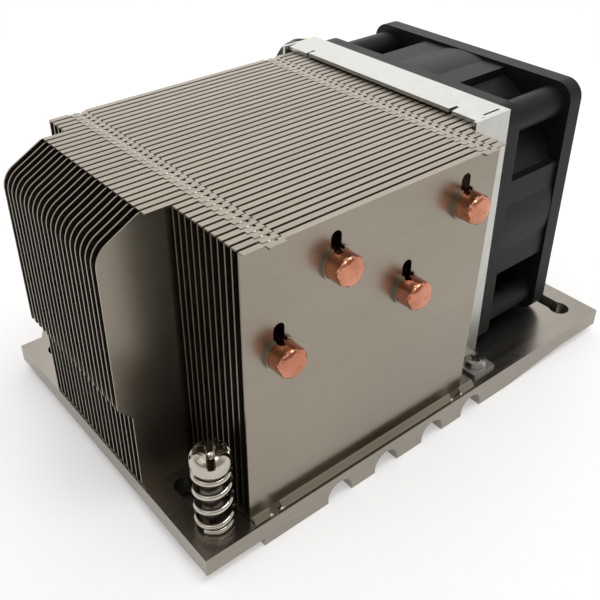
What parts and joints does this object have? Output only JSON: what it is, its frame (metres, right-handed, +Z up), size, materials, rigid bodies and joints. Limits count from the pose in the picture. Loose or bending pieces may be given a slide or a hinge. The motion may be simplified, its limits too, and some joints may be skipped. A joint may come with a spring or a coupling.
{
  "type": "active server cpu heatsink",
  "caption": "Low-profile processor heatsink: folded fin stack on U-bent copper heat pipes, grooved base plate, sheet bracket with an axial fan, sprung captive screw.",
  "frame": {"origin": "centre of the bounding box in plan, on the underside of the contact pad", "axes": "+X along the fins towards the fan, +Y across the fins away from the side with the pipes' tips, +Z up from the processor"},
  "size_m": [0.1224, 0.1185, 0.0673],
  "materials": {
    "base_metal": "satin nickel-plated aluminium",
    "fin_metal": "satin nickel-plated aluminium sheet",
    "pipe_copper": "bare copper, satin; brass stands in for copper's density",
    "bracket_sheet": "bright zinc-plated steel sheet",
    "screw_steel": "nickel-plated steel",
    "captive_chrome": "bright nickel plating",
    "fan_plastic": "fine-textured black moulding",
    "motor_steel": "pressed steel and silicon steel sheets",
    "magnet_ferrite": "dark bonded ferrite",
    "winding_copper": "enamelled copper wire",
    "board_laminate": "green solder-resist laminate",
    "lead_sleeve": "black sleeve over coloured wires",
    "plug_plastic": "black connector housing"
  },
  "bodies": {
    "heatsink": {"base_plate": "base_metal", "fin_01": "fin_metal", "fin_02": "fin_metal", "fin_03": "fin_metal", "fin_04": "fin_metal", "fin_05": "fin_metal", "fin_06": "fin_metal", "fin_07": "fin_metal", "fin_08": "fin_metal", "fin_09": "fin_metal", "fin_10": "fin_metal", "fin_11": "fin_metal", "fin_12": "fin_metal", "fin_13": "fin_metal", "fin_14": "fin_metal", "fin_15": "fin_metal", "fin_16": "fin_metal", "fin_17": "fin_metal", "fin_18": "fin_metal", "fin_19": "fin_metal", "fin_20": "fin_metal", "fin_21": "fin_metal", "fin_22": "fin_metal", "fin_23": "fin_metal", "fin_24": "fin_metal", "fin_25": "fin_metal", "fin_26": "fin_metal", "fin_27": "fin_metal", "fin_28": "fin_metal", "fin_29": "fin_metal", "fin_30": "fin_metal", "fin_31": "fin_metal", "fin_32": "fin_metal", "fin_33": "fin_metal", "fin_34": "fin_metal", "fin_35": "fin_metal", "fin_36": "fin_metal", "heat_pipe_1": "pipe_copper", "heat_pipe_2": "pipe_copper", "heat_pipe_3": "pipe_copper", "heat_pipe_4": "pipe_copper", "fan_bracket": "bracket_sheet", "bracket_screws": "screw_steel", "fan_frame": "fan_plastic", "fan_screws": "screw_steel", "front_bearing": "screw_steel", "rear_bearing": "screw_steel", "stator_core": "motor_steel", "stator_coils": "winding_copper", "fan_circuit_board": "board_laminate", "screw_spring": "captive_chrome", "fan_lead": "lead_sleeve", "lead_plug": "plug_plastic"},
    "fan_rotor": {"fan_impeller": "fan_plastic", "rotor_yoke": "motor_steel", "rotor_magnet": "magnet_ferrite", "rotor_shaft": "screw_steel", "shaft_clip": "screw_steel"},
    "screw_carrier": {"screw_clip": "screw_steel"},
    "captive_screw": {"captive_screw": "captive_chrome"}
  },
  "joints": [
    {"name": "fan_spin", "type": "hinge", "parent": "heatsink", "child": "fan_rotor", "pos_m": [0.0412, -0.0024, 0.037], "axis": [1, 0, 0], "continuous": true},
    {"name": "captive_press", "type": "slide", "parent": "heatsink", "child": "screw_carrier", "axis": [0, 0, -1], "range_m": [0, 0.007], "stiffness_N_per_m": 1500, "springref_m": -0.003, "deforming": ["screw_spring"]},
    {"name": "captive_turn", "type": "hinge", "parent": "screw_carrier", "child": "captive_screw", "pos_m": [-0.05215, -0.0351, 0.0062], "axis": [0, 0, -1], "continuous": true}
  ]
}
